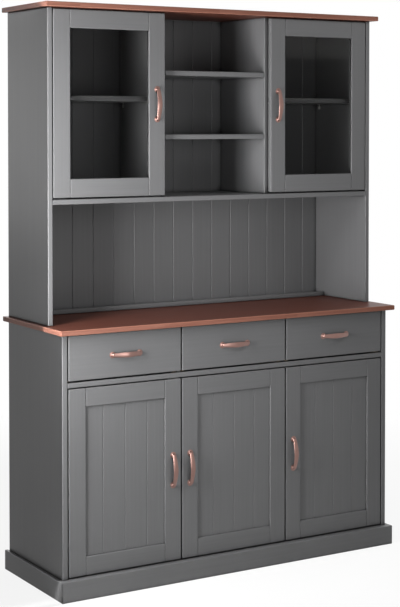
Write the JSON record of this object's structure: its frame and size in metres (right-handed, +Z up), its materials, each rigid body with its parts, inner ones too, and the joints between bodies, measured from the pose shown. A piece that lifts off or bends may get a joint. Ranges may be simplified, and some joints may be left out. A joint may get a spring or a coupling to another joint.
{
  "type": "buffet cabinet with glazed hutch",
  "caption": "Freestanding buffet cabinet: drawers over panelled doors carry a shallower hutch with glazed doors, open shelves and a serving niche, under stained tops.",
  "frame": {"origin": "on the floor, under the middle of the cabinet's overall box", "axes": "+X to the right seen from the front, +Y towards the back, +Z up"},
  "size_m": [1.284, 0.432, 1.839],
  "materials": {
    "grey_lacquer": "satin lacquer",
    "brown_stain": "stained, satin",
    "copper_plate": "copper plated, satin",
    "nickel_plate": "nickel plated",
    "clear_glass": "clear",
    "birch_ply": "clear lacquer"
  },
  "bodies": {
    "carcass": {"base_side_left": "grey_lacquer", "base_side_right": "grey_lacquer", "base_floor": "grey_lacquer", "drawer_deck": "grey_lacquer", "drawer_partition_left": "grey_lacquer", "drawer_partition_right": "grey_lacquer", "door_partition": "grey_lacquer", "base_back_panel": "grey_lacquer", "plinth_front": "grey_lacquer", "plinth_left": "grey_lacquer", "plinth_right": "grey_lacquer", "base_shelf_wide": "grey_lacquer", "base_shelf_narrow": "grey_lacquer", "hutch_side_left": "grey_lacquer", "hutch_side_right": "grey_lacquer", "hutch_deck": "grey_lacquer", "hutch_partition_left": "grey_lacquer", "hutch_partition_right": "grey_lacquer", "hutch_back_panel": "grey_lacquer", "hutch_back_rail": "grey_lacquer", "glazed_shelf_left": "grey_lacquer", "glazed_shelf_right": "grey_lacquer", "open_shelf_lower": "grey_lacquer", "open_shelf_upper": "grey_lacquer", "worktop": "brown_stain", "crown_board": "brown_stain", "left_door_hinge_low": "nickel_plate", "left_door_hinge_high": "nickel_plate", "middle_door_hinge_low": "nickel_plate", "middle_door_hinge_high": "nickel_plate", "right_door_hinge_low": "nickel_plate", "right_door_hinge_high": "nickel_plate", "left_glazed_door_hinge_low": "nickel_plate", "left_glazed_door_hinge_high": "nickel_plate", "right_glazed_door_hinge_low": "nickel_plate", "right_glazed_door_hinge_high": "nickel_plate"},
    "left_drawer": {"drawer_front_left": "grey_lacquer", "drawer_box_left": "birch_ply", "drawer_handle_left": "copper_plate"},
    "middle_drawer": {"drawer_front_middle": "grey_lacquer", "drawer_box_middle": "birch_ply", "drawer_handle_middle": "copper_plate"},
    "right_drawer": {"drawer_front_right": "grey_lacquer", "drawer_box_right": "birch_ply", "drawer_handle_right": "copper_plate"},
    "left_door": {"left_door_frame": "grey_lacquer", "left_door_panel": "grey_lacquer", "left_door_handle": "copper_plate"},
    "middle_door": {"middle_door_frame": "grey_lacquer", "middle_door_panel": "grey_lacquer", "middle_door_handle": "copper_plate"},
    "right_door": {"right_door_frame": "grey_lacquer", "right_door_panel": "grey_lacquer", "right_door_handle": "copper_plate"},
    "left_glazed_door": {"left_glazed_door_frame": "grey_lacquer", "left_glazed_door_pane": "clear_glass", "left_glazed_door_handle": "copper_plate"},
    "right_glazed_door": {"right_glazed_door_frame": "grey_lacquer", "right_glazed_door_pane": "clear_glass", "right_glazed_door_handle": "copper_plate"}
  },
  "joints": [
    {"name": "left_drawer_slide", "type": "slide", "parent": "carcass", "child": "left_drawer", "axis": [0, -1, 0], "range_m": [0, 0.28]},
    {"name": "middle_drawer_slide", "type": "slide", "parent": "carcass", "child": "middle_drawer", "axis": [0, -1, 0], "range_m": [0, 0.28]},
    {"name": "right_drawer_slide", "type": "slide", "parent": "carcass", "child": "right_drawer", "axis": [0, -1, 0], "range_m": [0, 0.28]},
    {"name": "left_door_turn", "type": "hinge", "parent": "carcass", "child": "left_door", "pos_m": [-0.6035, -0.188, 0.0675], "axis": [0, 0, -1], "range_deg": [0, 100]},
    {"name": "middle_door_turn", "type": "hinge", "parent": "carcass", "child": "middle_door", "pos_m": [0.19967, -0.188, 0.0675], "axis": [0, 0, 1], "range_deg": [0, 90]},
    {"name": "right_door_turn", "type": "hinge", "parent": "carcass", "child": "right_door", "pos_m": [0.6035, -0.188, 0.0675], "axis": [0, 0, 1], "range_deg": [0, 100]},
    {"name": "left_glazed_door_turn", "type": "hinge", "parent": "carcass", "child": "left_glazed_door", "pos_m": [-0.606, -0.092, 1.2315], "axis": [0, 0, -1], "range_deg": [0, 100]},
    {"name": "right_glazed_door_turn", "type": "hinge", "parent": "carcass", "child": "right_glazed_door", "pos_m": [0.606, -0.092, 1.2315], "axis": [0, 0, 1], "range_deg": [0, 100]}
  ]
}
